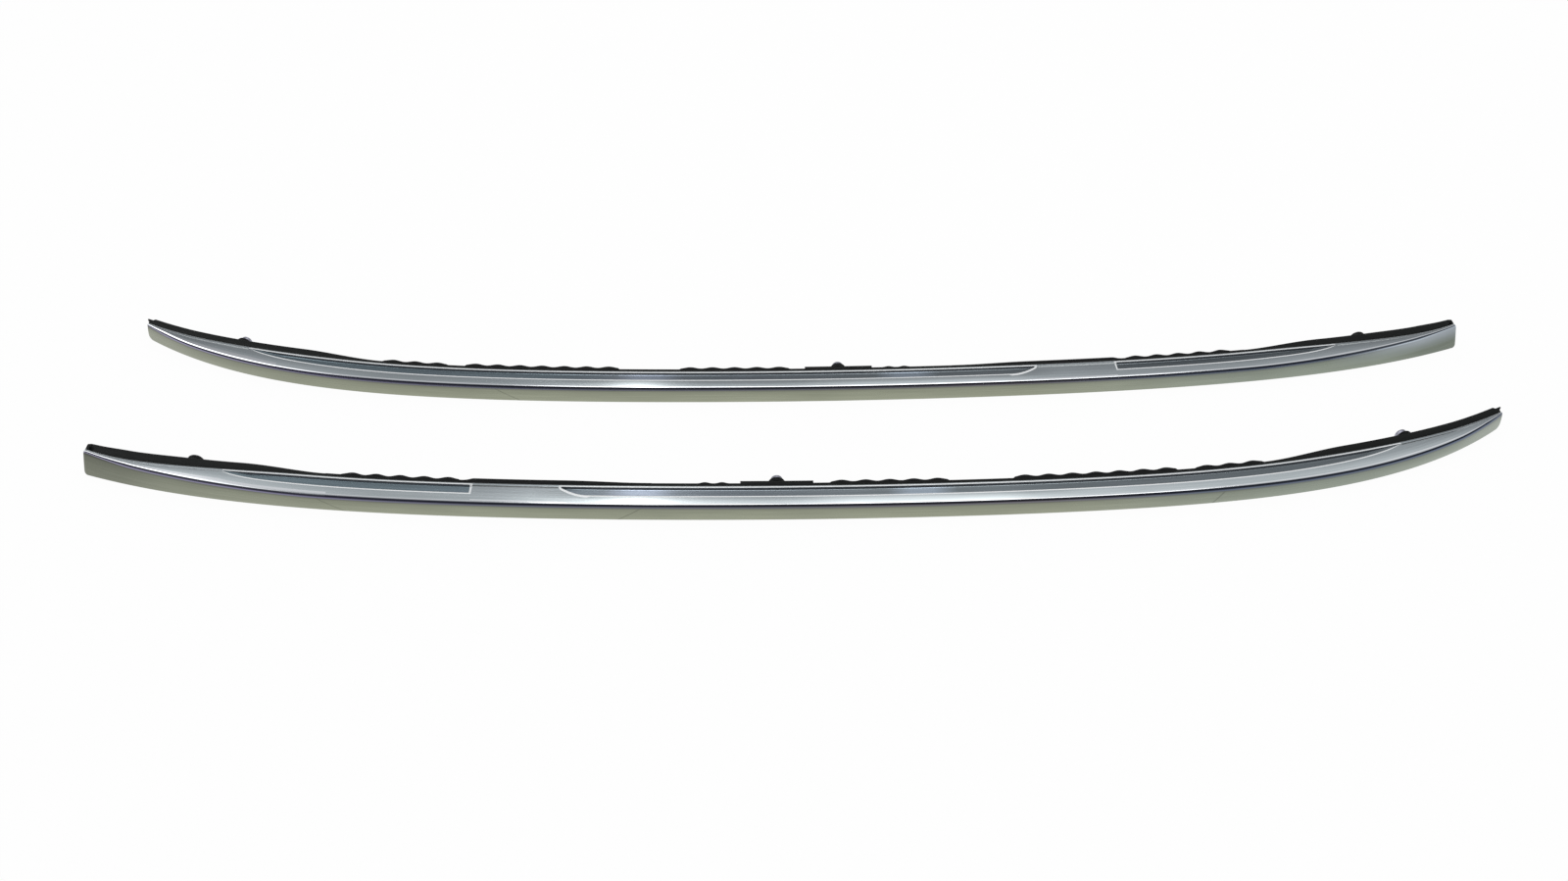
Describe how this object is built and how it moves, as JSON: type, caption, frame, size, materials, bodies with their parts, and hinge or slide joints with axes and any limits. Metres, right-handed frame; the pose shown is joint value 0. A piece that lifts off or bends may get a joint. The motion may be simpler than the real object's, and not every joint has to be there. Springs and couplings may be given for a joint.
{
  "type": "roof side rail pair",
  "caption": "Pair of flush roof side rails with clamp grooves, blunt rear and pointed front ends, black underlays and rubber-collared mounting studs.",
  "frame": {"origin": "on the floor under the middle of the pair's box", "axes": "+X along the rails, towards the right rail's pointed front end; -Y the way the top faces look, up on the vehicle; +Z out of the grooved inboard sides, up as the pair lies"},
  "size_m": [1.8995, 0.3822, 0.0359],
  "materials": {
    "rail_metal": "satin anodised",
    "underlay_black": "matte",
    "seal_rubber": "matte",
    "pad_black": "fine grain",
    "anchor_steel": "zinc plated",
    "collar_rubber": "matte",
    "spigot_metal": "plain turned"
  },
  "bodies": {
    "root": {"right_rail": "rail_metal", "right_underlay": "underlay_black", "right_seal_lip": "seal_rubber", "right_rear_pad": "pad_black", "right_middle_pad": "pad_black", "right_front_pad": "pad_black", "right_rear_anchor": "anchor_steel", "right_middle_anchor": "anchor_steel", "right_front_anchor": "anchor_steel", "right_rear_collar": "collar_rubber", "right_middle_collar": "collar_rubber", "right_front_collar": "collar_rubber", "right_rear_spigot": "spigot_metal", "right_middle_spigot": "spigot_metal", "right_front_spigot": "spigot_metal", "left_rail": "rail_metal", "left_underlay": "underlay_black", "left_seal_lip": "seal_rubber", "left_rear_pad": "pad_black", "left_middle_pad": "pad_black", "left_front_pad": "pad_black", "left_rear_anchor": "anchor_steel", "left_middle_anchor": "anchor_steel", "left_front_anchor": "anchor_steel", "left_rear_collar": "collar_rubber", "left_middle_collar": "collar_rubber", "left_front_collar": "collar_rubber", "left_rear_spigot": "spigot_metal", "left_middle_spigot": "spigot_metal", "left_front_spigot": "spigot_metal"}
  },
  "joints": []
}
